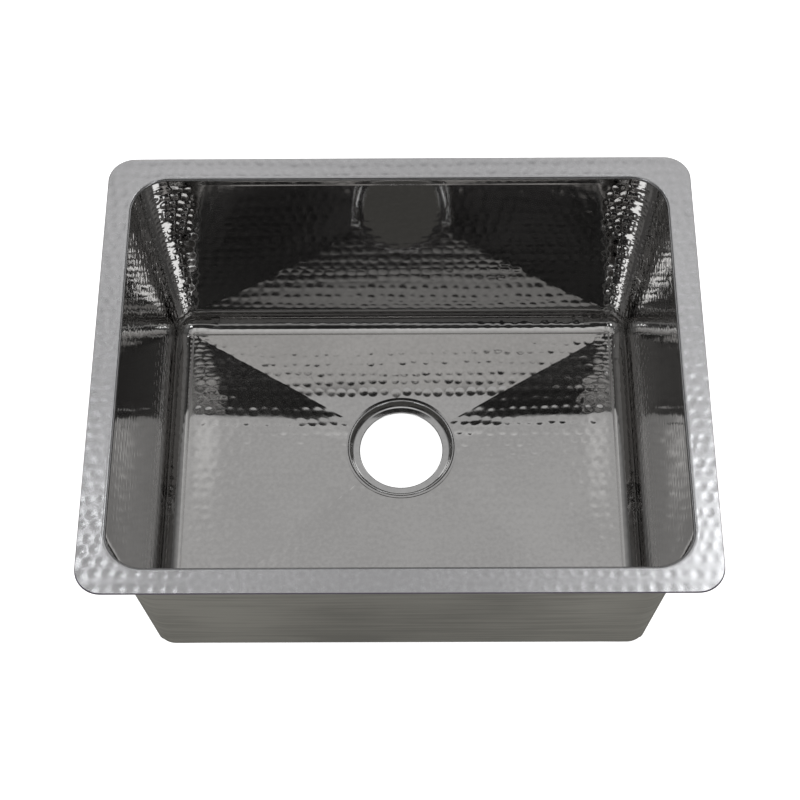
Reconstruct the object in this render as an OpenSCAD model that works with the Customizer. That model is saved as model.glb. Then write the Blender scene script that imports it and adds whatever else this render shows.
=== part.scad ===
// Undermount kitchen sink bowl, cut, folded and welded from hammered stainless steel sheet.
// Millimetres. X runs left to right, Y front to back, Z up.
// The origin lies below the middle of the rim, on the surface that the drain throat stands on.

/* [Rim] */
// Outside width of the rim, left to right
rim_w = 577; // [500:1:760]
// Outside depth of the rim, front to back
rim_d = 462; // [400:1:560]
// Radius of the rim's outer corners
rim_corner_r = 25; // [10:1:40]
// Width of the flat flange round the bowl opening
flange_w = 25; // [20:1:40]
// Radius on top of the fold where the flange turns down into the bowl
fold_r = 3; // [2.5:0.5:6]
// How far the folded lip reaches down into the bowl
lip_h = 9; // [7:1:16]

/* [Bowl] */
// Thickness of all the sheet
sheet = 1.5; // [1:0.1:2]
// Radius of the bowl opening's corners
opening_corner_r = 36; // [35:1:60]
// Height from the rim down to the floor's outer edge
bowl_depth = 256; // [180:1:300]
// How far each wall leans in on its way down
wall_lean = 17; // [8:1:18]
// Inside radius of the bend between wall and floor
cove_r = 16.5; // [8:0.5:17.5]

/* [Drain] */
// Inside diameter of the drain throat
outlet_d = 88.9; // [80:0.1:92]
// Outside diameter of the drain ring
ring_d = 115; // [110:1:130]
// Distance of the drain's centre behind the middle of the rim
drain_back = 35; // [0:1:60]
// Fall of the floor from its outer edge to the point that its four facets run to
floor_fall = 5.5; // [3:0.5:12]
// Depth of the flat seat below the ring's edge
seat_recess = 6.5; // [5:0.5:12]
// Width of the flat seat round the throat
seat_w = 6.5; // [4:0.5:7]
// Height of the throat below the seat
throat_h = 4; // [3:0.5:12]
// Radius of the rolled bead on the ring's edge
bead_r = 1.6; // [1:0.1:2]

/* [Weld seams] */
// Width of a weld seam between two sheets
seam_w = 2; // [1:0.1:3]
// Height of a seam's crown on the outside of the bowl
seam_crown = 0.6; // [0.2:0.1:1.5]

/* [Hidden] */
$fn = 96;

// Bowl opening, measured to the sharp edge where the flange's top and the walls' faces would meet
opening_w = rim_w - 2 * flange_w;
opening_d = rim_d - 2 * flange_w;
// The four corner axes, round which every corner of the bowl is turned
axis_x = opening_w / 2 - opening_corner_r;
axis_y = opening_d / 2 - opening_corner_r;

// Heights
throat_r = outlet_d / 2;
ring_r = ring_d / 2;
pan_hole_r = ring_r + seam_w;
lean_angle = atan(wall_lean / bowl_depth);
// Floor's outer corner radius where the bend ends and the seam begins
cove_reach = cove_r * tan(45 - lean_angle / 2);
cove_end_r = opening_corner_r - wall_lean - cove_reach;
pan_corner_r = cove_end_r - seam_w;
pan_half_w = axis_x + pan_corner_r;
pan_half_d = axis_y + pan_corner_r;
// Runs of the four floor facets, from the floor's edge to the drain's centre
side_run = pan_half_w;
back_run = pan_half_d - drain_back;
front_run = pan_half_d + drain_back;
// The floor's heights above the facets' lowest point, where the drain ring is welded in
edge_rise = floor_fall * pan_hole_r / side_run;
top_rise = floor_fall * pan_hole_r / back_run;
low_rise = floor_fall * pan_hole_r / norm([side_run, back_run]);
point_z = throat_h + seat_recess - edge_rise;
ring_edge_z = point_z + edge_rise;
seat_z = ring_edge_z - seat_recess;
floor_z = point_z + floor_fall;
rim_z = floor_z + bowl_depth;
// Larger than the whole sink, for the cutting blocks
reach = rim_w + rim_d + rim_z;
// Distance that one shape runs past the face of another, where it cuts it or joins it
past = 1;

steel_bright = "silver";
steel_satin = "lightgray";
steel_weld = "darkgray";

// Steps in which a bend of the sheet is drawn
bend_steps = 10;
// Points along an arc, from one angle to another
function arc(centre, r, from, to) =
    [for (i = [0:bend_steps]) let (t = from + (to - from) * i / bend_steps) centre + r * [cos(t), sin(t)]];
function backwards(points) = [for (i = [len(points) - 1:-1:0]) points[i]];

// The wall in the plane through a corner axis: its inner face's radius at a depth below the rim,
// and the point that lies square to that face by a distance
function wall_r(depth) = opening_corner_r - wall_lean * depth / bowl_depth;
function wall_point(depth, out) = [wall_r(depth) + out * cos(lean_angle), -depth - out * sin(lean_angle)];

// A face of the wall: it goes down from the seam under the lip and bends inwards to meet the floor
cove_centre = [cove_end_r, cove_r - bowl_depth];
function wall_face(out) =
    concat([wall_point(lip_h + seam_w, out)], arc(cove_centre, cove_r + out, -lean_angle, -90));

module wall_profile(thick) {
    polygon(concat(wall_face(0), backwards(wall_face(thick))));
}

// A face of the flange's fold: it starts a little way inside the flat flange, bends down into the bowl
// and ends in a short lip
fold_centre = [wall_r(fold_r) + fold_r / cos(lean_angle), -fold_r];
fold_end_r = fold_centre[0];
function fold_face(out) = concat(
    [[fold_end_r + past, -out]],
    arc(fold_centre, fold_r - out, 90, 180 - lean_angle),
    [wall_point(lip_h, out)]
);

module fold_profile() {
    polygon(concat(fold_face(0), backwards(fold_face(sheet))));
}

module rim_seam_profile() {
    thick = sheet + seam_crown;
    below = lip_h + seam_w;
    polygon([
        wall_point(lip_h, 0), wall_point(lip_h, thick),
        wall_point(below, thick), wall_point(below, 0)
    ]);
}

// The four sides, in the order in which quarter turns bring the back round to them
SIDES = ["back", "left", "front", "right"];
// Turn from the back to a side
function turn_to(side) = 90 * search([side], SIDES)[0];
// Half the length of a side's straight stretch, and how far out its line of corner axes lies
function side_half(side) = side == "back" || side == "front" ? axis_x : axis_y;
function side_out(side) = side == "back" || side == "front" ? axis_y : axis_x;

// Straight stretch of one side: a profile's radius is measured from the line between the corner axes
module straight_side(side) {
    rotate([0, 0, turn_to(side)])
        translate([-side_half(side), side_out(side), rim_z])
            rotate([90, 0, 90])
                linear_extrude(height = 2 * side_half(side)) children();
}

// Whole corner at one end of a side: the one it shares with the next side, or else the one before
module full_corner(side, next = true) {
    rotate([0, 0, turn_to(side)])
        translate([next ? -side_half(side) : side_half(side), side_out(side), rim_z])
            rotate([0, 0, next ? 90 : 0])
                rotate_extrude(angle = 90) children();
}

// Slot for the weld seam where a side meets the next one, across the middle of the corner
module corner_slot(side) {
    rotate([0, 0, turn_to(side)])
        translate([-side_half(side), side_out(side), -past])
            rotate([0, 0, 135])
                translate([0, -seam_w / 2, 0])
                    cube([reach, seam_w, reach]);
}

// Block that holds one side with half of each corner, cut at 45 degrees and clear of the seams' slots
module mitred_block(side) {
    end_x = side_half(side) - seam_w / sqrt(2);
    rotate([0, 0, turn_to(side)])
        translate([0, side_out(side), 0])
            linear_extrude(height = reach)
                polygon([[-end_x, 0], [end_x, 0], [end_x + reach, reach], [-end_x - reach, reach]]);
}

module wall(side) {
    color(steel_bright)
        intersection() {
            union() {
                straight_side(side) wall_profile(sheet);
                full_corner(side) wall_profile(sheet);
                full_corner(side, next = false) wall_profile(sheet);
            }
            mitred_block(side);
        }
}

// Weld seam down the corner between a side and the next one, flush inside and crowned outside
module corner_seam(side) {
    color(steel_weld)
        intersection() {
            full_corner(side) wall_profile(sheet + seam_crown);
            corner_slot(side);
        }
}

// A profile carried all the way round the bowl
module round_the_bowl() {
    for (side = SIDES) {
        straight_side(side) children();
        full_corner(side) children();
    }
}

// Plate with rounded corners, in the plane of the rim
module rounded_plate(w, d, r) {
    square([w - 2 * r, d], center = true);
    square([w, d - 2 * r], center = true);
    for (x = [-1, 1], y = [-1, 1])
        translate([x * (w / 2 - r), y * (d / 2 - r)])
            circle(r = r);
}

module rim_flange() {
    color(steel_satin) {
        translate([0, 0, rim_z - sheet])
            linear_extrude(height = sheet)
                difference() {
                    rounded_plate(rim_w, rim_d, rim_corner_r);
                    rounded_plate(2 * (axis_x + fold_end_r), 2 * (axis_y + fold_end_r), fold_end_r);
                }
        round_the_bowl() fold_profile();
    }
}

module rim_seam() {
    color(steel_weld)
        round_the_bowl() rim_seam_profile();
}

// Space above one floor facet that rises towards a side, and above all four of them
module above_facet(side, run) {
    rotate([0, 0, turn_to(side)])
        rotate([atan(floor_fall / run), 0, 0])
            translate([-reach, -reach, 0])
                cube([2 * reach, 2 * reach, reach]);
}

module above_facets(drop) {
    translate([0, drain_back, point_z - drop])
        intersection() {
            above_facet("back", back_run);
            above_facet("left", side_run);
            above_facet("front", front_run);
            above_facet("right", side_run);
        }
}

module floor_pan() {
    color(steel_bright)
        difference() {
            intersection() {
                translate([0, 0, point_z - sheet - past])
                    linear_extrude(height = floor_fall + sheet + 2 * past)
                        rounded_plate(2 * pan_half_w, 2 * pan_half_d, pan_corner_r);
                above_facets(sheet);
            }
            above_facets(0);
            translate([0, drain_back, 0])
                cylinder(h = rim_z, r = pan_hole_r);
        }
}

// Weld seam round the floor, flush inside and crowned below
module floor_seam() {
    color(steel_weld)
        round_the_bowl()
            translate([pan_corner_r, -bowl_depth - sheet - seam_crown])
                square([seam_w, sheet + seam_crown]);
}

// Drain ring: rolled edge, sloping side, flat seat and straight throat, turned from one pressed sheet
module drain_profile() {
    seat_r = throat_r + seat_w;
    edge_in = ring_r - 2 * bead_r;
    translate([edge_in, ring_edge_z - sheet])
        square([2 * bead_r, sheet]);
    translate([ring_r - bead_r, ring_edge_z - sheet + bead_r])
        circle(r = bead_r);
    polygon([
        [seat_r, seat_z], [seat_r, seat_z - sheet], [seat_r + sheet, seat_z - sheet],
        [edge_in + sheet, ring_edge_z - sheet], [edge_in + bead_r, ring_edge_z],
        [edge_in, ring_edge_z]
    ]);
    translate([throat_r, seat_z - sheet])
        square([seat_w, sheet]);
    translate([throat_r, seat_z - throat_h])
        square([sheet, throat_h]);
}

module drain_ring() {
    color(steel_bright)
        translate([0, drain_back, 0])
            rotate_extrude() drain_profile();
}

module drain_seam() {
    color(steel_weld)
        translate([0, drain_back, point_z + low_rise - sheet])
            rotate_extrude()
                translate([ring_r, 0])
                    square([seam_w, top_rise - low_rise + sheet]);
}

rim_flange();
rim_seam();
wall("front");  // front_wall
wall("back");  // back_wall
wall("left");  // left_wall
wall("right");  // right_wall
corner_seam("left");  // front_left_seam
corner_seam("front");  // front_right_seam
corner_seam("back");  // back_left_seam
corner_seam("right");  // back_right_seam
floor_pan();
floor_seam();
drain_ring();
drain_seam();
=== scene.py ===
from math import atan, cos, pi, radians, sin, tan

import bpy
import numpy as np
from mathutils import Matrix, Vector


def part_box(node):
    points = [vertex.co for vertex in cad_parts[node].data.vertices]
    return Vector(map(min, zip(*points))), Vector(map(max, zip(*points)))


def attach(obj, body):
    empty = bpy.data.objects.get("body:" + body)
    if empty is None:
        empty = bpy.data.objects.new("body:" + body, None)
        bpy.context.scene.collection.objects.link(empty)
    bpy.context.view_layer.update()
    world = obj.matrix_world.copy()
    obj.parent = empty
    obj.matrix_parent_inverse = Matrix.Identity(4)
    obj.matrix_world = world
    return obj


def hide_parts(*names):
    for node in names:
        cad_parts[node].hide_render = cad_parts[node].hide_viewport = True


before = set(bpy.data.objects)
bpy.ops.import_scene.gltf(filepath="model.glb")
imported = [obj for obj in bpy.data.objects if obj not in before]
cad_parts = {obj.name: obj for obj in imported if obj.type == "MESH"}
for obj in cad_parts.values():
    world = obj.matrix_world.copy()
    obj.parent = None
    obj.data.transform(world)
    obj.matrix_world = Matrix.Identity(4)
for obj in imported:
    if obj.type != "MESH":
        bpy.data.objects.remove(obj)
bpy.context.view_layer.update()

# Camera: it stands in front of the sink and well above it, and looks down into the bowl at about
# 63 degrees. Its height is measured from the top of the rim.
rim_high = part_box("rim_flange")[1]
rim_z = rim_high.z
camera_place = Vector((0.01158, -0.78922, rim_z + 1.4691))
look_down, look_left, roll_left = radians(62.986), radians(0.831), radians(0.968)
sensor_w = 36
picture_w = 800
focal_length_px = 1777.9

forward = Vector((-sin(look_left) * cos(look_down), cos(look_left) * cos(look_down), -sin(look_down)))
level_right = Vector((cos(look_left), sin(look_left), 0))
level_up = level_right.cross(forward)
right = cos(roll_left) * level_right - sin(roll_left) * level_up
up = sin(roll_left) * level_right + cos(roll_left) * level_up

bpy.ops.object.camera_add()
camera = bpy.context.object
camera.matrix_world = Matrix((
    (right.x, up.x, -forward.x, camera_place.x),
    (right.y, up.y, -forward.y, camera_place.y),
    (right.z, up.z, -forward.z, camera_place.z),
    (0, 0, 0, 1),
))
camera.data.sensor_width = sensor_w
camera.data.lens = sensor_w * focal_length_px / picture_w
bpy.context.scene.camera = camera
bpy.context.scene.view_settings.view_transform = "Standard"


# Studio: a white floor and surroundings, a lamp for the floor's soft shadow, painted shade of the floor
# under and round the sink as a dim glowing sheet, and over it a tent that only the metal sees, with a large
# white panel and black cloth beside it.
class Shade:
    """A socket of a material. Sums on it add Math nodes, and node() adds any other node."""

    def __init__(self, tree, socket=None):
        self.tree = tree
        self.socket = socket

    def node(self, kind, settings=None, sockets=None, out=0):
        made = self.tree.nodes.new("ShaderNode" + kind)
        for name, value in (settings or {}).items():
            if name == "stops":
                for stop in range(2, len(value)):
                    made.color_ramp.elements.new(1)
                for element, (place, grey) in zip(made.color_ramp.elements, value):
                    element.position = place
                    element.color = (grey, grey, grey, 1)
            else:
                setattr(made, name, value)
        for name, value in (sockets or {}).items():
            if isinstance(value, Shade):
                self.tree.links.new(value.socket, made.inputs[name])
            else:
                made.inputs[name].default_value = value
        return Shade(self.tree, made.outputs[out] if made.outputs else None)

    def sum(self, operation, first, second=0.0):
        return self.node("Math", {"operation": operation}, {0: first, 1: second})

    def __add__(self, other):
        return self.sum("ADD", self, other)

    def __sub__(self, other):
        return self.sum("SUBTRACT", self, other)

    def __rsub__(self, other):
        return self.sum("SUBTRACT", other, self)

    def __mul__(self, other):
        return self.sum("MULTIPLY", self, other)

    __radd__ = __add__
    __rmul__ = __mul__

    def size(self):
        return self.sum("ABSOLUTE", self)

    def rise(self, low, high):
        """0 below low, 1 above high, and a smooth rise between them."""
        ends = {"Value": self, "From Min": low, "From Max": high}
        return self.node("MapRange", {"interpolation_type": "SMOOTHSTEP"}, ends)


def new_material(name):
    """An empty material, and a Shade to start its nodes from."""
    made = bpy.data.materials.new(name)
    made.use_nodes = True
    made.node_tree.nodes.clear()
    return made, Shade(made.node_tree)


def split(shade):
    """The three parts of a vector."""
    parts = shade.node("SeparateXYZ", sockets={"Vector": shade}).socket.node
    return [Shade(shade.tree, out) for out in parts.outputs]


def seen_as_backdrop(shade):
    """1 for what the camera sees, straight or in metal or glass."""
    path = shade.node("LightPath").socket.node
    names = ("Is Camera Ray", "Is Glossy Ray", "Is Transmission Ray")
    straight, in_metal, in_glass = [Shade(shade.tree, path.outputs[name]) for name in names]
    return straight.sum("MINIMUM", straight + in_metal + in_glass, 1.0)


world = bpy.data.worlds.new("white_room")
world.use_nodes = True
world.node_tree.nodes.clear()
bpy.context.scene.world = world
room_light = 0.6
room = Shade(world.node_tree)
backdrop = seen_as_backdrop(room)
background = room.node(
    "Background",
    sockets={"Color": (1, 1, 1, 1), "Strength": backdrop + (1 - backdrop) * room_light},
)
room.node("OutputWorld", sockets={"Surface": background})

floor_half = 30.0
floor_drop = 0.001
bpy.ops.mesh.primitive_plane_add(size=2 * floor_half, location=(0, 0, -floor_drop))
white_floor = bpy.context.object
white_floor.name = "white_floor"
floor_paint, paper = new_material("white_floor")
paper_glow = 0.9
paper_grey = 0.8
glow = paper.node("Emission", sockets={"Color": (1, 1, 1, 1), "Strength": paper_glow})
matt = paper.node("BsdfDiffuse", sockets={"Color": (paper_grey, paper_grey, paper_grey, 1)})
no_light = paper.node("Emission", sockets={"Strength": 0.0})
shown = paper.node("MixShader", sockets={0: seen_as_backdrop(paper), 1: no_light, 2: glow})
from_above = paper.node("AddShader", sockets={0: shown, 1: matt})
from_below = paper.node("BsdfTransparent")
below = paper.node("NewGeometry", out="Backfacing")
floor_look = paper.node("MixShader", sockets={0: below, 1: from_above, 2: from_below})
paper.node("OutputMaterial", sockets={"Surface": floor_look})
white_floor.data.materials.append(floor_paint)

lamp_h = 2.5
lamp_size = 3.0
lamp_power = 12
bpy.ops.object.light_add(type="AREA", location=(0, 0, lamp_h))
floor_lamp = bpy.context.object
floor_lamp.data.size = lamp_size
floor_lamp.data.energy = lamp_power
floor_lamp.visible_glossy = False
floor_lamp.visible_camera = False


def metal_only(stage_piece):
    """Leaves a stage piece to be seen by the metal alone."""
    stage_piece.visible_camera = False
    stage_piece.visible_diffuse = False
    stage_piece.visible_transmission = False
    stage_piece.visible_volume_scatter = False
    stage_piece.visible_shadow = False


# Painted shade of the floor under and round the sink, as a dim glowing sheet that only the metal sees
shade_card_half_w = 0.75
shade_card_half_d = 0.7
bpy.ops.mesh.primitive_plane_add(size=2, location=(0, 0, -floor_drop / 2))
painted_floor_shade = bpy.context.object
painted_floor_shade.name = "painted_floor_shade"
painted_floor_shade.scale = (shade_card_half_w, shade_card_half_d, 1)
metal_only(painted_floor_shade)
floor_shade_paint, floor_shade_nodes = new_material("painted_floor_shade")
# Painted floor shade: darkest right under the bowl, and a little lighter to the left and right
floor_shade_colour = (1.0, 0.98, 0.92, 1)
shade_under_bowl, shade_round_bowl, shade_end_lift = 0.06, 0.24, 0.3
shade_card_x, shade_card_y, _ = split(floor_shade_nodes.node("NewGeometry", out="Position"))
past_ends = shade_card_x.size().rise(0.24, 0.26)
past_front = shade_card_y.size().rise(0.18, 0.2)
beside = past_ends.sum("MAXIMUM", past_ends, past_front)
to_ends = 1 + shade_end_lift * shade_card_x.size().rise(0.05, 0.2)
painted_shade_light = shade_under_bowl + (shade_round_bowl - shade_under_bowl) * beside * to_ends
painted_shade_look = floor_shade_nodes.node("Emission", sockets={"Color": floor_shade_colour, "Strength": painted_shade_light})
floor_shade_nodes.node("OutputMaterial", sockets={"Surface": painted_shade_look})
painted_floor_shade.data.materials.append(floor_shade_paint)

tent_r = 20.0
tent_foot = 0.01
bpy.ops.mesh.primitive_uv_sphere_add(segments=48, ring_count=24, radius=tent_r, location=(0, 0, rim_z))
tent = bpy.context.object
tent.name = "light_tent"
metal_only(tent)
bpy.ops.object.mode_set(mode="EDIT")
bpy.ops.mesh.select_all(action="SELECT")
bpy.ops.mesh.bisect(
    plane_co=(0, 0, rim_z + tent_foot * tent_r), plane_no=(0, 0, 1), clear_inner=True
)
bpy.ops.object.mode_set(mode="OBJECT")
tent_cloth, sky = new_material("light_tent")
tent_cloth.cycles.emission_sampling = "NONE"
aim = sky.node("VectorMath", {"operation": "NORMALIZE"}, {0: sky.node("TexCoord", out="Object")})
aim_x, aim_y, aim_z = split(aim)
aside = aim_x.size()
# All edges on the tent are given by the arrow of length 1 that points at them from the sink.
# The panel's front edge bows forwards in the middle and draws back at the sides, and its side edges
# spread to the rear. Past its rear edge little light comes through.
panel_front, panel_side, panel_rear = -0.316, 0.46, 0.6
edge_blur, side_blur, rear_blur = 0.005, 0.06, 0.025
middle_forward = 0.013 * (1 - aside.rise(0.015, 0.035))
sides_back = 0.12 * aside.rise(0.09, 0.3)
front_edge = aim_y - sides_back + middle_forward
side_edge = aside - 0.28 * aim_y.rise(0.1, 0.3)
in_depth = front_edge.rise(panel_front - edge_blur, panel_front + edge_blur)
in_depth = in_depth * (1 - 0.85 * aim_y.rise(panel_rear, panel_rear + rear_blur))
panel = in_depth * (1 - side_edge.rise(panel_side - side_blur, panel_side + side_blur))
# The panel is brightest in front, and fades to the rear and to the sides
panel_bright, rear_fade, side_fade, side_step = 0.62, 0.32, 1.2, 0.3
rear_light = 0.31 * aim_y.rise(0.46, 0.54) * (1 - aside.rise(0.18, 0.28))
rear_corner_light = 0.2 * aim_y.rise(0.38, 0.44) * aside.rise(0.06, 0.15) * (1 - aside.rise(0.19, 0.25))
side_fall = (1 - side_fade * aim_x * aim_x) * (1 - side_step * aside.rise(0.16, 0.22))
panel_light = (panel_bright - rear_fade * aim_y) * side_fall + rear_light + rear_corner_light
# Black cloth hangs round the panel. Some light reaches it at the sides, near the panel and low down,
# and a dim strip of light shows in front.
far_side_light = 0.07 * aside.rise(0.5, 0.6)
near_panel = 0.015 * aim_y.rise(-0.5, panel_front)
front_side_light = 0.12 * (aside - 0.3 * aim_x).rise(0.1, 0.5) * (1 - aim_y.rise(-0.33, -0.27))
strip_y = aim_y - 0.12 * aim_x
front_strip = (0.29 + 0.4 * aim_x) * (1 - strip_y.rise(-0.727, -0.69)) * strip_y.rise(-0.81, -0.77)
low_front_light = 0.2 * (1 - aim_y.rise(-0.96, -0.9))
low_rear_light = 0.45 * (1 - aim_z.rise(0.26, 0.32)) * aim_y.rise(0, 0.15)
folds = sky.node("TexNoise", sockets={"Vector": aim, "Scale": 14.0, "Detail": 2.0}, out="Fac")
dark_light = 0.013 + 0.032 * folds.rise(0.35, 0.7)
cloth_round = dark_light + near_panel + front_side_light + far_side_light + front_strip
tent_light = panel * panel_light + (1 - panel) * (cloth_round + low_front_light + low_rear_light)
sky.node("OutputMaterial", sockets={
    "Surface": sky.node("Emission", sockets={"Color": (1, 1, 1, 1), "Strength": tent_light}),
})
tent.data.materials.append(tent_cloth)


lamp_colour = (0.96, 0.98, 1.0)
lamp_distance = 0.6 * tent_r


def round_lamp(name, towards, lamp_r, brightness):
    """A round lamp far off in one direction, with its radius as a share of its distance."""
    aim = Vector(towards).normalized()
    bpy.ops.object.light_add(type="AREA", location=aim * lamp_distance + Vector((0, 0, rim_z)))
    lamp = bpy.context.object
    lamp.name = name
    lamp.rotation_mode = "QUATERNION"
    lamp.rotation_quaternion = aim.to_track_quat("Z", "Y")
    lamp.data.shape = "DISK"
    lamp.data.size = 2 * lamp_r * lamp_distance
    lamp.data.color = lamp_colour
    lamp.data.energy = brightness * pi * pi * (lamp_r * lamp_distance) ** 2
    lamp.visible_camera = False
    lamp.visible_diffuse = False
    lamp.visible_shadow = False
    return lamp


softbox_r, softbox_bright = 0.12, 1.9
round_lamp("left_softbox", (-0.37, -0.52, 0.77), softbox_r, softbox_bright)
round_lamp("right_softbox", (0.37, -0.52, 0.77), softbox_r, softbox_bright)

# The four walls are 1.5 mm stainless sheet. Each is hammered flat and then folded, so that half of each
# corner and the bend to the floor are one piece with the wall. Polished inside, brushed outside.
sheet = 0.0015
flange_w = 0.025
corner_r = 0.036
lip_h = 0.009
seam_w = 0.002
wall_lean = 0.017
cove_r = 0.0165
floor_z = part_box("floor_seam")[1].z
bowl_depth = rim_z - floor_z
axis_x = rim_high.x - flange_w - corner_r
axis_y = rim_high.y - flange_w - corner_r
lean = atan(wall_lean / bowl_depth)
cove_end_r = corner_r - wall_lean - cove_r * tan(pi / 4 - lean / 2)
wall_top = lip_h + seam_w
wall_flat = (bowl_depth - cove_r + cove_r * sin(lean) - wall_top) / cos(lean)
wall_run = wall_flat + cove_r * (pi / 2 - lean)
# Flat length of sheet that makes half a corner
corner_run = 0.024
fine_step = 0.0013
SIDES = ["back", "left", "front", "right"]


def side_axis(side):
    """Half the length of a side between its corner axes, and how far out their line lies."""
    return (axis_x, axis_y) if side in ("back", "front") else (axis_y, axis_x)


def turned(side, x, y):
    """A point of the back's plan, turned round to a side."""
    turns = {"back": (x, y), "left": (-y, x), "front": (-x, -y), "right": (y, -x)}
    return turns[side]


def on_wall(run, out):
    """Radius from the corner axis and height: run goes down the wall's face and out into the sheet."""
    depth = wall_top + run * cos(lean)
    bend = lean + (run - wall_flat) / cove_r
    straight = run < wall_flat
    flat_r = corner_r - tan(lean) * depth + out * cos(lean)
    flat_down = depth + out * sin(lean)
    r = np.where(straight, flat_r, cove_end_r + (cove_r + out) * np.cos(bend))
    down = np.where(straight, flat_down, bowl_depth - cove_r + (cove_r + out) * np.sin(bend))
    return r, rim_z - down


def on_side(side, along, r):
    """Plan of a side and half a corner at each end, up to the weld seams. Along is measured on the sheet."""
    half, out = side_axis(side)
    share = np.clip((np.abs(along) - half) / corner_run, 0, 1)
    turn = share * (pi / 4 - np.arcsin(seam_w / 2 / r))
    x = np.sign(along) * (np.minimum(np.abs(along), half) + r * np.sin(turn))
    return turned(side, x, out + r * np.cos(turn))


def hammer_marks(x, y, seed, pitch_x=0.0118, pitch_y=0.0122, mark_r=0.0049, loose=1.0):
    """Round marks struck in rows: their depth times the hammer's radius.

    Loose marks and rows wander by a part of the pitch, and each mark has its own size and force.
    """
    dice = np.random.default_rng(seed)
    row = np.floor(y / pitch_y).astype(int)
    row_first = row.min() - 1
    row_count = row.max() - row_first + 2
    row_start = loose * dice.uniform(0, 1, row_count)
    row_wave = dice.uniform(0, 2 * pi, row_count)
    column_first = int(np.floor(x.min() / pitch_x)) - 2
    count = (int(np.ceil(x.max() / pitch_x)) - column_first + 4, row_count)
    shift_x, shift_y = loose * dice.uniform(-0.13, 0.13, count), loose * dice.uniform(-0.10, 0.10, count)
    size = dice.uniform(0.88, 1.12, count)
    force = dice.uniform(0.7, 1.4, count)
    depth = np.zeros(len(x))
    for j in (-1, 0, 1):
        line = row + j - row_first
        column = np.floor(x / pitch_x - row_start[line]).astype(int)
        for i in (-1, 0, 1):
            at = (column + i - column_first, line)
            centre_x = (column + i + 0.5 + row_start[line] + shift_x[at]) * pitch_x
            bow = loose * 0.12 * np.sin(centre_x / 0.07 + row_wave[line])
            away_x = x - centre_x
            away_y = y - (row + j + 0.5 + shift_y[at] + bow) * pitch_y
            reach = mark_r * size[at]
            depth = np.maximum(depth, force[at] * (reach ** 2 - away_x ** 2 - away_y ** 2) / 2)
    return depth


def ease(value, low, high):
    """0 below low, 1 above high, and a smooth rise between them."""
    share = np.clip((value - low) / (high - low), 0, 1)
    return share * share * (3 - 2 * share)


FACE, BACK, CUT, LIP = 0, 1, 2, 3


def closed_section(face, back, edge=BACK):
    """Stations round a sheet's section, down its face and up its back.

    Gives the run and the depth in the sheet at each station, and the finish of each band between them.
    """
    run = np.concatenate([face, back[::-1], face[:1]])
    out = np.concatenate([0 * face, 0 * back + sheet, [0]])
    finish = [FACE] * (len(face) - 1) + [edge] + [BACK] * len(back)
    return run, out, np.array(finish)


def roll_sheet(name, columns, section, place):
    """A flat grid is wrapped round the section and laid where place puts it, and its ends are closed."""
    run, out, finish = section
    rows = len(run) - 1
    bpy.ops.object.select_all(action="DESELECT")
    bpy.ops.mesh.primitive_grid_add(x_subdivisions=columns, y_subdivisions=rows, size=1)
    piece = bpy.context.object
    piece.name = name
    mesh = piece.data
    flat = np.empty(3 * len(mesh.vertices))
    mesh.vertices.foreach_get("co", flat)
    across, down, _ = flat.reshape(-1, 3).T + 0.5
    station = np.rint(down * rows).astype(int)
    middles = np.empty(3 * len(mesh.polygons))
    mesh.polygons.foreach_get("center", middles)
    band = np.floor((middles.reshape(-1, 3)[:, 1] + 0.5) * rows).astype(int)
    mesh.polygons.foreach_set("material_index", finish[band])
    mesh.vertices.foreach_set("co", np.column_stack(place(across, run[station], out[station])).ravel())
    mesh.update()
    bpy.ops.object.mode_set(mode="EDIT")
    bpy.ops.mesh.select_all(action="SELECT")
    bpy.ops.mesh.remove_doubles(threshold=1e-6)
    bpy.ops.mesh.fill_holes(sides=0)
    bpy.ops.mesh.normals_make_consistent(inside=False)
    bpy.ops.object.mode_set(mode="OBJECT")
    bpy.ops.object.shade_smooth_by_angle(angle=radians(35))
    return piece


cloud_spots, wave_spots = 9.0, 160.0


def steel(
    name, colour, rough, rough_spread, scratch=0.0, drawn_out=(1, 1, 1), spots=60.0, waves=0.0, contrast=0.06
):
    """Bare steel: cloudy gloss, fine scratches that are drawn out one way, and a faint unevenness."""
    made, grain = new_material(name)
    place = grain.node("TexCoord", out="Object")
    drawn = grain.node("Mapping", sockets={"Vector": place, "Scale": drawn_out})
    cloud = grain.node("TexNoise", sockets={"Vector": place, "Scale": cloud_spots, "Detail": 4.0}, out="Fac")
    fine = grain.node("TexNoise", sockets={"Vector": drawn, "Scale": spots, "Detail": 5.0}, out="Fac")
    light = grain.node("Mix", {"data_type": "RGBA"}, {
        "Factor": (cloud * 0.4 + fine * 0.6).rise(0.35, 0.65),
        "A": (*[(1 - contrast) * part for part in colour], 1),
        "B": (*[(1 + contrast) * part for part in colour], 1),
    }, out=2)
    wave = grain.node("TexNoise", sockets={"Vector": place, "Scale": wave_spots, "Detail": 2.0}, out="Fac")
    height = fine * scratch + wave * waves
    bump = grain.node("Bump", sockets={"Height": height, "Distance": 0.001, "Strength": 1.0})
    surface = grain.node("BsdfPrincipled", sockets={
        "Base Color": light,
        "Metallic": 1.0,
        "Roughness": rough + rough_spread * (cloud - 0.5) + rough_spread * (fine - 0.5),
        "Normal": bump,
    })
    grain.node("OutputMaterial", sockets={"Surface": surface})
    return made


polished = steel("polished_hammered_steel", (0.62, 0.61, 0.60), 0.055, 0.04, spots=240.0, waves=0.008)
brushed = steel(
    "brushed_steel_back", (0.45, 0.445, 0.42), 0.42, 0.1, scratch=0.05, drawn_out=(0.04, 0.04, 1),
    spots=220.0, contrast=0.2,
)
# Radii of the dishes that the hammer leaves: on the flat, beside a weld, near a corner and in the bend
flat_curve, seam_curve, corner_curve, bend_curve = 0.28, 0.024, 0.034, 0.16
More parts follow.
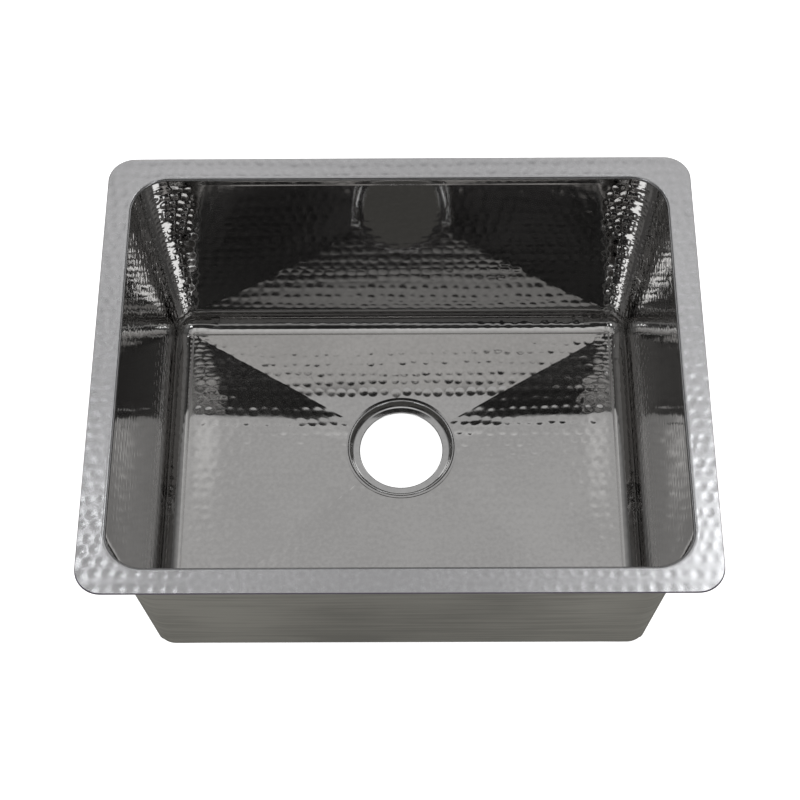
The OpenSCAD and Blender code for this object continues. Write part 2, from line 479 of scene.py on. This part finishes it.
# The hammered sheet bows out a little in the middle, most at this share of its height
wall_bow = 0.0022
widest = 0.52
# The bend is tighter beside the floor than beside the wall by this much
bend_swell = 0.0009
# Columns of the mesh: close together near the corners
corner_part, corner_step, middle_step = 0.062, 0.001, 0.0015
bend_run = wall_run - wall_flat


def bowed(along, run, half_run):
    """How far the sheet stands out between the lip and the bend, less its swell in the bend."""
    down = run / wall_flat
    bend = np.clip((run - wall_flat) / bend_run, 0, 1)
    # Below its widest the wall draws in, more and more until just above the bend
    steps = np.linspace(0, 1, 200)
    drawn_in = np.cumsum(steps ** 1.6 * (1 - ease(steps, 0.8, 0.96)))
    low = np.interp((down - widest) / (1 - widest), steps, drawn_in / drawn_in[-1])
    section = np.where(down < widest, 1 - (1 - np.clip(down / widest, 0, 1)) ** 2, 1 - low)
    middle_share = (1 - np.clip(np.abs(along) / half_run, 0, 1) ** 4) ** 2
    off_corner = 1 - ease(np.abs(along), half_run - 0.05, half_run - 0.03)
    swell = bend_swell * (1 - np.cos(2 * pi * bend)) / 2 * off_corner
    return wall_bow * section * middle_share - swell


for turn, side in enumerate(SIDES):
    half_run = side_axis(side)[0] + corner_run
    middle = half_run - corner_part
    corner_columns, middle_columns = round(corner_part / corner_step), round(2 * middle / middle_step)
    column_ends = np.cumsum([0, corner_columns, middle_columns, corner_columns])
    face = np.linspace(0, wall_run, round(wall_run / fine_step))
    back = np.concatenate([np.linspace(0, wall_flat, 12), np.linspace(wall_flat, wall_run, 9)[1:]])

    def place_wall(across, run, out):
        along = np.interp(across * column_ends[-1], column_ends, [-half_run, -middle, middle, half_run])
        from_seam = half_run - np.abs(along)
        near_bend = ease(run, wall_flat - 0.004, wall_flat + 0.004)
        if side in ("back", "front"):
            # Struck softly by the lip and low down, hard in one patch and at the right end of the bend
            force = 0.9 * ease(run, 0.02, 0.06) - 0.7 * ease(run, wall_flat - 0.08, wall_flat - 0.045)
            force = force + 3 * np.exp(-((along - 0.11) ** 2 + (run - 0.15) ** 2) / 0.018 ** 2)
            bend_force = 1 + 1.5 * ease(along, 0.05, 0.12) * near_bend
            near_corner = 1 - ease(from_seam + 0.06 * run, corner_run + 0.012, corner_run + 0.026)
        else:
            # Struck harder to the rear
            to_rear = along if side == "left" else -along
            force = 1 + 1.2 * ease(to_rear, 0, 0.06)
            bend_force = 1
            near_corner = (1 - ease(from_seam, corner_run, corner_run + 0.035)) * ease(to_rear, 0, 0.05)
        low_down = ease(run, 0.06, 0.11) * ease(from_seam, 0.018, 0.03)
        near_corner = near_corner * (1 - near_bend) * (1 - 0.7 * low_down)
        flat_marks = hammer_marks(along, run, seed=turn)
        flat_marks = flat_marks * (force / flat_curve + bend_force * near_bend / bend_curve)
        # Beside a weld runs a neat column of small marks, and past it the marks are large and deep
        at_seam = from_seam + np.where(along > 0, 0.9, 0)
        seam_marks = hammer_marks(
            at_seam, run, seed=turn + 50, pitch_x=0.009, pitch_y=0.0083, mark_r=0.0043, loose=0.3
        )
        corner_marks = hammer_marks(
            along, run, seed=turn + 70, pitch_x=0.0135, pitch_y=0.0115, mark_r=0.0062
        )
        past_seam = ease(from_seam, 0.008, 0.012)
        hard_marks = (1 - past_seam) * seam_marks / seam_curve + past_seam * corner_marks / corner_curve
        marks = flat_marks + near_corner * (hard_marks - flat_marks)
        # The sheet's edges stay true, for the welds
        inside_edges = ease(from_seam, 0.0002, 0.0015) * ease(run, 0, 0.006)
        inside_edges = inside_edges * (1 - ease(run, wall_run - 0.008, wall_run - 0.002))
        r, z = on_wall(run, out + bowed(along, run, half_run) + marks * inside_edges * (out == 0))
        x, y = on_side(side, along, r)
        return x, y, z

    wall = roll_sheet(side + "_wall_sheet", column_ends[-1], closed_section(face, back), place_wall)
    wall.data.materials.append(polished)
    wall.data.materials.append(brushed)
    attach(wall, "root")
    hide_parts(side + "_wall")

# The floor is one hammered sheet, cross-broken from its corners towards the drain so that water runs to it.
# A round hole is cut for the drain ring, which is welded in. Polished inside, brushed below.
ring_low, ring_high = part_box("drain_ring")
drain_y = (ring_low.y + ring_high.y) / 2
ring_r = (ring_high.x - ring_low.x) / 2
hole_r = ring_r + seam_w
pan_low, pan_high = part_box("floor_pan")
pan_corner_r = cove_end_r - seam_w
floor_fall = 0.0055
point_z = floor_z - floor_fall
# The side facets stand up a little beside the drain and in front of it
side_swell = 0.0006
# Runs of the four facets, from the drain's centre to the floor's edges
facet_runs = {
    "back": pan_high.y - drain_y, "left": pan_high.x, "front": drain_y - pan_low.y, "right": pan_high.x,
}
# Columns of each facet, which end on the creases
facet_columns = [260, 200, 260, 200]
pan_rows = 94


def on_pan(across, run, out):
    """Rays from the drain's centre to the floor's edges: run goes from 0 at the hole to 1 at the edge."""
    creases = np.cumsum([0] + facet_columns) / sum(facet_columns)
    around = np.interp(across, creases, range(5)) % 4
    x, y, edge_share = np.zeros(len(across)), np.zeros(len(across)), np.ones(len(across))
    on_sides = np.zeros(len(across), dtype=bool)
    for turn, side in enumerate(SIDES):
        chosen = np.floor(around).astype(int) == turn
        c = 1 - 2 * (around[chosen] - turn)
        before, after = facet_runs[SIDES[turn - 1]], facet_runs[SIDES[(turn + 1) % 4]]
        far_x = np.where(c > 0, before, after) * c
        far_y = np.full(len(c), facet_runs[side])
        in_x = np.where(c > 0, before, after) - pan_corner_r
        in_y = far_y - pan_corner_r
        length2 = far_x ** 2 + far_y ** 2
        towards = np.abs(far_x) * in_x + far_y * in_y
        apart = towards ** 2 - length2 * (in_x ** 2 + in_y ** 2 - pan_corner_r ** 2)
        rounded = (np.abs(far_x) > in_x) & (apart > 0)
        edge_share[chosen] = np.where(rounded, (towards + np.sqrt(np.maximum(apart, 0))) / length2, 1)
        x[chosen], y[chosen] = turned(side, far_x, far_y)
        on_sides |= chosen & (side in ("left", "right"))
    hole_share = hole_r / np.hypot(x, y)
    share = hole_share + (edge_share - hole_share) * run
    x, y = x * share, y * share
    z = point_z + floor_fall * share - out
    run_y = np.where(y > 0, facet_runs["back"], facet_runs["front"])
    from_crease = np.abs(x) / facet_runs["left"] - np.abs(y) / run_y
    side_share = ease(from_crease, 0, 0.3) * (1 - ease(run, 0.8, 0.97)) * on_sides
    z = z + side_swell * side_share * (1 - ease(y, 0, 0.075)) * ease(y, -0.22, -0.07)
    # The side facets are struck softly in their rear and the rear facet hard, and all harder to the right
    force = np.where(on_sides, 1.6 - 1.1 * ease(y, 0.06, 0.08), 0.9 + 1.1 * ease(y, 0.055, 0.075))
    marks = force * hammer_marks(x, y, seed=9) / (flat_curve - 0.08 * ease(x, -0.1, 0.15))
    inside_edge = 1 - ease(run, 0.965, 0.99)
    return x, y + drain_y, z - marks * (out == 0) * inside_edge


pan_face = np.linspace(0, 1, pan_rows)
pan_back = np.linspace(0, 1, 10)
floor_sheet = roll_sheet("floor_sheet", sum(facet_columns), closed_section(pan_face, pan_back), on_pan)
floor_sheet.data.materials.append(polished)
floor_sheet.data.materials.append(brushed)
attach(floor_sheet, "root")
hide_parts("floor_pan")

# The flange is one hammered sheet round the opening, with a satin finish. Its inner edge is folded down
# into the bowl as a short lip, to which the walls are welded.
fold_r = 0.003
# The lip stands this much more upright than the walls
lip_upright = 0.032
lip_lean = lean - lip_upright
lip_low_r = corner_r - tan(lean) * lip_h
lip_top = fold_r * (1 - sin(lip_lean))
fold_out = lip_low_r + tan(lip_lean) * (lip_h - lip_top) + fold_r * cos(lip_lean)
lip_run = (lip_h - lip_top) / cos(lip_lean)
fold_run = fold_r * (pi / 2 + lip_lean)
rim_corner_r = 0.025
edge_away = rim_high.x - axis_x
edge_in = edge_away - rim_corner_r
loop_columns = 1200
# The cut edge slopes: its top is this much further in than its bottom
edge_soften = 0.0007
flange_curve = 0.16
# The lip is polished with the bowl: this many bands of the mesh
polished_bands = 4


def on_loop(across):
    """Round the opening: the point on the line of the corner axes, and which way the sheet lies from it."""
    straights = [2 * side_axis(side)[0] for side in SIDES]
    corner = corner_r * pi / 2
    whole = sum(straights) + 4 * corner
    distance = (across % 1) * whole
    x, y, way = np.zeros(len(across)), np.zeros(len(across)), np.zeros(len(across))
    start = 0
    for turn, side in enumerate(SIDES):
        half, out = side_axis(side)
        chosen = (distance >= start) & (distance < start + 2 * half + corner)
        along = distance[chosen] - start
        x[chosen], y[chosen] = turned(side, half - np.minimum(along, 2 * half), np.full(len(along), out))
        way[chosen] = turn * pi / 2 + np.maximum(along - 2 * half, 0) / corner_r
        start += 2 * half + corner
    return x, y, way


def on_flange(across, run, out):
    """Run starts at the lip's lower edge and goes up the lip, over the fold and out to the flange's edge."""
    x, y, way = on_loop(across)
    beside = way % (pi / 2)
    straight_edge = edge_away / np.maximum(np.cos(beside), np.sin(beside))
    both = edge_in * (np.cos(beside) + np.sin(beside))
    arc_edge = both + np.sqrt(np.maximum(both ** 2 - 2 * edge_in ** 2 + rim_corner_r ** 2, 0))
    on_arc = np.tan(np.minimum(beside, pi / 2 - beside)) > edge_in / edge_away
    edge_r = np.where(on_arc, arc_edge, straight_edge)
    flat_share = (run - lip_run - fold_run) / (edge_away - fold_out)
    bend = np.clip((run - lip_run) / fold_r, 0, pi / 2 + lip_lean) - lip_lean
    on_lip = run < lip_run
    on_top = flat_share > 0
    lip_r = lip_low_r + run * sin(lip_lean) + out * cos(lip_lean)
    lip_down = lip_h - run * cos(lip_lean) + out * sin(lip_lean)
    r = np.where(on_lip, lip_r, fold_out - (fold_r - out) * np.cos(bend))
    down = np.where(on_lip, lip_down, fold_r - (fold_r - out) * np.sin(bend))
    r = np.where(on_top, fold_out + (edge_r - fold_out) * flat_share, r)
    plan_x = x - r * np.sin(way)
    plan_y = y + r * np.cos(way)
    # Struck harder in the two front corners and along the right side
    right_side = ease(plan_x, 0.22, 0.25) * (1 - ease(plan_y, -0.06, 0.02))
    front_left = 1 - ease(np.hypot(plan_x + 0.285, plan_y + 0.226), 0.06, 0.12)
    front_right = ease(plan_x - plan_y, 0.47, 0.51)
    force = 1 + 0.3 * right_side + 1.6 * front_left + 0.8 * front_right
    marks = force * hammer_marks(plan_x, plan_y, seed=21) / flange_curve
    return plan_x, plan_y, rim_z - down - marks * (out == 0) * np.clip(flat_share * 8, 0, 1)


flange_run = lip_run + fold_run + edge_away - fold_out
flange_face = np.concatenate([
    np.linspace(0, lip_run, 5),
    np.linspace(lip_run, lip_run + fold_run, 9)[1:],
    np.linspace(lip_run + fold_run, flange_run - edge_soften, 16)[1:],
])
flange_back = np.concatenate([
    np.linspace(0, lip_run, 3),
    np.linspace(lip_run, lip_run + fold_run, 6)[1:],
    np.linspace(lip_run + fold_run, flange_run, 4)[1:],
])
satin = steel("satin_hammered_steel", (0.59, 0.587, 0.595), 0.2, 0.05, spots=200.0, waves=0.012)
# The flange's cut edge is coloured near-black: painted shade for the shadow along the flange's edge
flange_edge_shade_paint = steel("flange_edge_painted_shade", (0.08, 0.07, 0.09), 0.4, 0.1, scratch=0.01, spots=600.0)
rim_section = closed_section(flange_face, flange_back, edge=CUT)
rim_section[2][:polished_bands] = LIP
rim = roll_sheet("rim_flange_sheet", loop_columns, rim_section, on_flange)
for finish in (satin, brushed, flange_edge_shade_paint, polished):
    rim.data.materials.append(finish)
# Two lamps behind the sink light the flange alone
for lamp in (
    round_lamp("back_right_lamp", (0.265, 0.345, 0.9), lamp_r=0.085, brightness=3.0),
    round_lamp("back_left_lamp", (-0.26, 0.36, 0.91), lamp_r=0.045, brightness=3.5),
):
    flange_only = bpy.data.collections.new(lamp.name)
    flange_only.objects.link(rim)
    lamp.light_linking.receiver_collection = flange_only
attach(rim, "root")
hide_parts("rim_flange")

# The drain ring is pressed and turned from one sheet: a rolled bead on its edge, a steep side, a flat seat
# for the strainer and a short throat that flares downwards. It is polished all over.
bead_r = 0.0016
seat_w = 0.0078
seat_round = 0.0005
throat_flare = 0.0022
throat_h = 0.004
throat_r = 0.04445
seat_z = throat_h
ring_edge_z = ring_high.z - 2 * bead_r + sheet
bead_z = ring_high.z - bead_r
bead_out = ring_r - bead_r
seat_r = throat_r + seat_w
ring_steps = 192
bead_steps = 10
turned_steel = steel("polished_steel", (0.66, 0.655, 0.65), 0.06, 0.05, spots=200.0, waves=0.004)
ring_top = (
    [(throat_r + throat_flare, seat_z - throat_h), (throat_r, seat_z - seat_round)]
    + [(throat_r + seat_round, seat_z), (throat_r + 2 * seat_round, seat_z)]
    + [(seat_r - 3 * seat_round, seat_z), (seat_r - 2 * seat_round, seat_z), (seat_r, seat_z + 0.0004)]
    + [(ring_r - 2 * bead_r - seat_round, ring_edge_z - 0.0006)]
)
ring_bead = [
    (bead_out + bead_r * cos(a), bead_z + bead_r * sin(a))
    for a in (pi * (1 - 1.25 * step / bead_steps) for step in range(bead_steps + 1))
]
ring_under = (
    [(ring_r - 1.9 * bead_r, ring_edge_z - sheet), (seat_r + sheet / 2, seat_z - sheet)]
    + [(throat_r + 2 * sheet, seat_z - sheet), (throat_r + throat_flare + sheet, seat_z - throat_h)]
)
ring_section = ring_top + ring_bead + ring_under
start_r, start_z = ring_section[0]
bpy.ops.object.select_all(action="DESELECT")
bpy.ops.mesh.primitive_circle_add(vertices=ring_steps, radius=start_r, location=(0, drain_y, start_z))
drain = bpy.context.object
drain.name = "drain_ring_turned"
bpy.ops.object.transform_apply(location=True, rotation=True, scale=True)
bpy.ops.object.mode_set(mode="EDIT")
bpy.ops.mesh.select_mode(type="EDGE")
bpy.ops.mesh.select_all(action="SELECT")
before_r, before_z = start_r, start_z
for next_r, next_z in ring_section[1:]:
    bpy.ops.mesh.extrude_edges_move(TRANSFORM_OT_translate={"value": (0, 0, next_z - before_z)})
    grow = next_r / before_r
    bpy.ops.transform.resize(value=(grow, grow, 1), center_override=(0, drain_y, next_z))
    before_r, before_z = next_r, next_z
bpy.ops.mesh.select_all(action="DESELECT")
bpy.ops.mesh.select_non_manifold(
    extend=False, use_wire=False, use_multi_face=False, use_non_contiguous=False
)
bpy.ops.mesh.bridge_edge_loops()
bpy.ops.mesh.select_all(action="SELECT")
bpy.ops.mesh.remove_doubles(threshold=1e-6)
bpy.ops.mesh.normals_make_consistent(inside=False)
bpy.ops.object.mode_set(mode="OBJECT")
bpy.ops.object.shade_smooth_by_angle(angle=radians(50))
drain.data.materials.append(turned_steel)
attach(drain, "root")
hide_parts("drain_ring")

# The weld seams are strips of filler between the sheets, ground flush inside and left a little proud
# outside. They are polished with the bowl, and the one round the floor is left satin.
weld = steel("ground_weld", (0.60, 0.59, 0.585), 0.07, 0.06, spots=300.0, waves=0.004)
floor_weld = steel("satin_ground_weld", (0.62, 0.61, 0.6), 0.32, 0.06, spots=300.0, waves=0.004)
seam_ends = np.array([-seam_w / cos(lean), 0])


def on_rim_seam(across, run, out):
    """The seam under the lip runs round the whole opening, on the line of the walls."""
    x, y, way = on_loop(across)
    r, z = on_wall(run, out)
    return x - r * np.sin(way), y + r * np.cos(way), z


rim_bead = roll_sheet("rim_seam_ground", loop_columns, closed_section(seam_ends, seam_ends), on_rim_seam)
# Its face and its back have the same finish
for finish in (weld, weld):
    rim_bead.data.materials.append(finish)
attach(rim_bead, "root")
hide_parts("rim_seam")
for name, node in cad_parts.items():
    if name.endswith("_seam") and name != "rim_seam":
        node.data.materials.clear()
        node.data.materials.append(floor_weld if name == "floor_seam" else weld)
